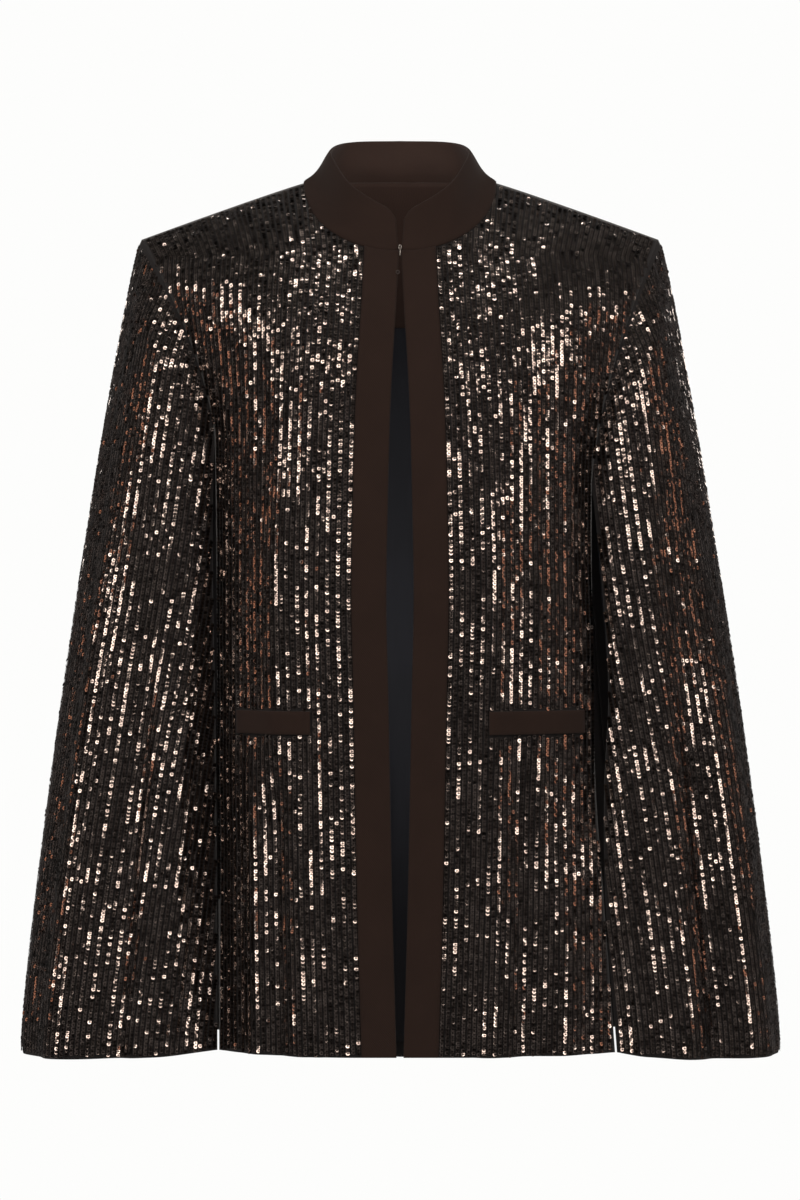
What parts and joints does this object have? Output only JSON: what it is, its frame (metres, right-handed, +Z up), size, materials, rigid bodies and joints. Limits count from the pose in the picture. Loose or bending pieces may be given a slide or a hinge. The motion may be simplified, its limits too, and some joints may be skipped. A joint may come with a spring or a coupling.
{
  "type": "cape blazer",
  "caption": "Open-front jacket with a stand collar, padded shoulders and cape sleeves that fall free of the fronts from the underarm to the hem.",
  "frame": {"origin": "on the centre line at the height of the side neck points, where the shoulders of a wearer hold the garment", "axes": "+Z up, -Y towards the garment's front, +X towards the wearer's left"},
  "size_m": [0.6279, 0.2524, 0.7843],
  "materials": {
    "sequin_cloth": "black mesh covered with rows of glossy bronze sequins",
    "brown_twill": "matt dark brown fine twill",
    "lining_satin": "smooth blue-black lining",
    "steel_wire": "bright wire",
    "black_thread": "twisted dark thread"
  },
  "bodies": {
    "root": {"front_right": "sequin_cloth", "front_left": "sequin_cloth", "back": "sequin_cloth", "sleeve_right": "sequin_cloth", "sleeve_left": "sequin_cloth", "collar": "brown_twill", "band_right": "brown_twill", "band_left": "brown_twill", "welt_right": "brown_twill", "welt_left": "brown_twill", "neck_facing": "brown_twill", "lining_back": "lining_satin", "lining_sleeve_right": "lining_satin", "lining_sleeve_left": "lining_satin", "hook": "steel_wire", "eye": "steel_wire", "thread_loop": "black_thread"}
  },
  "joints": []
}
